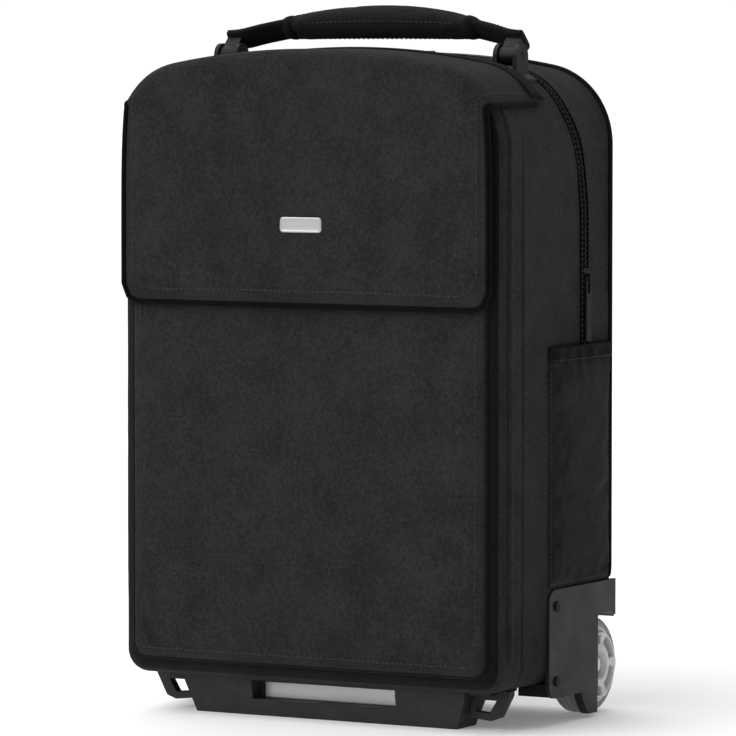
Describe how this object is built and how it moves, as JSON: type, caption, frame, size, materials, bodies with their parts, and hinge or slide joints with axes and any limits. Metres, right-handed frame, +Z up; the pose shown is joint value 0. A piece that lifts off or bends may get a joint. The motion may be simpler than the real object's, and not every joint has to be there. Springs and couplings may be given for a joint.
{
  "type": "pilot rolling flight case",
  "caption": "Soft-sided upright flight case with a wrap-over front flap, padded carry handle, telescopic pull handle, two rear wheels and a front stand.",
  "frame": {"origin": "on the floor under the centre of the overall box", "axes": "+Z up, -Y towards the front flap, +X to the right when facing the front"},
  "size_m": [0.3528, 0.2162, 0.5526],
  "materials": {
    "fabric": "matt woven ballistic nylon, charcoal",
    "trim": "black webbing, binding and zip tape",
    "lining": "stiffener board under lining cloth",
    "guard": "textured moulded plastic, dark olive grey",
    "plastic": "moulded black plastic",
    "tyre": "dark grey polyurethane tread",
    "hub": "light grey moulded hub",
    "tube": "satin anodised tube",
    "steel": "plated steel",
    "satin": "satin silver"
  },
  "bodies": {
    "case": {"shell": "fabric", "front_panel": "fabric", "document_divider": "lining", "base_board": "lining", "back_board": "lining", "front_piping": "trim", "rear_piping": "trim", "zip_tape": "trim", "side_pocket_right": "fabric", "side_pocket_left": "fabric", "pocket_hems": "trim", "flap_hinge_strip": "trim", "mouth_binding": "trim", "panel_magnets": "steel", "handle_brackets": "plastic", "bracket_rivets": "steel", "pivot_pins": "steel", "trolley_bezel": "plastic", "fixed_tubes": "tube", "tube_sockets": "plastic", "back_rails": "guard", "wheel_housing_right": "guard", "wheel_housing_left": "guard", "housing_screws": "steel", "axles": "steel", "stand": "plastic", "stand_bar": "satin", "foot_loops": "plastic", "stand_screws": "steel"},
    "flap_lid": {"flap": "fabric", "flap_piping": "trim", "flap_magnets": "steel", "badge": "satin"},
    "carry_handle": {"carry_grip": "trim", "carry_strap": "trim", "carry_eyes": "plastic"},
    "stage_one": {"stage_one_tubes": "tube", "stage_one_collars": "plastic"},
    "stage_two": {"stage_two_tubes": "tube", "lock_blocks": "plastic", "trolley_grip": "plastic", "button_spring": "steel"},
    "release": {"release_button": "plastic", "release_yoke": "steel"},
    "wheel_right": {"tyre_right": "tyre", "hub_right": "hub", "bearings_right": "steel"},
    "wheel_left": {"tyre_left": "tyre", "hub_left": "hub", "bearings_left": "steel"},
    "slider": {"zip_slider": "steel"},
    "puller": {"zip_puller": "steel"}
  },
  "joints": [
    {"name": "flap_hinge", "type": "hinge", "parent": "case", "child": "flap_lid", "pos_m": [0, -0.02, 0.516], "axis": [-1, 0, 0], "range_deg": [0, 92]},
    {"name": "carry_pivot", "type": "hinge", "parent": "case", "child": "carry_handle", "pos_m": [0, -0.003, 0.514], "axis": [1, 0, 0], "range_deg": [0, 38]},
    {"name": "pull_stage_one", "type": "slide", "parent": "case", "child": "stage_one", "axis": [0, 0, 1], "range_m": [0, 0.26]},
    {"name": "pull_stage_two", "type": "slide", "parent": "stage_one", "child": "stage_two", "axis": [0, 0, 1], "range_m": [0, 0.26]},
    {"name": "release_press", "type": "slide", "parent": "stage_two", "child": "release", "axis": [0, 0, -1], "range_m": [0, 0.003], "stiffness_N_per_m": 400, "springref_m": -0.006, "deforming": ["button_spring"]},
    {"name": "wheel_right_spin", "type": "hinge", "parent": "case", "child": "wheel_right", "pos_m": [0.151, 0.07, 0.038], "axis": [1, 0, 0], "continuous": true},
    {"name": "wheel_left_spin", "type": "hinge", "parent": "case", "child": "wheel_left", "pos_m": [-0.151, 0.07, 0.038], "axis": [1, 0, 0], "continuous": true},
    {"name": "zip_run", "type": "slide", "parent": "case", "child": "slider", "axis": [0, 0, 1], "range_m": [0, 0.065]},
    {"name": "puller_swing", "type": "hinge", "parent": "slider", "child": "puller", "pos_m": [0.1732, 0.035, 0.343], "axis": [0, -1, 0], "range_deg": [0, 110]}
  ]
}
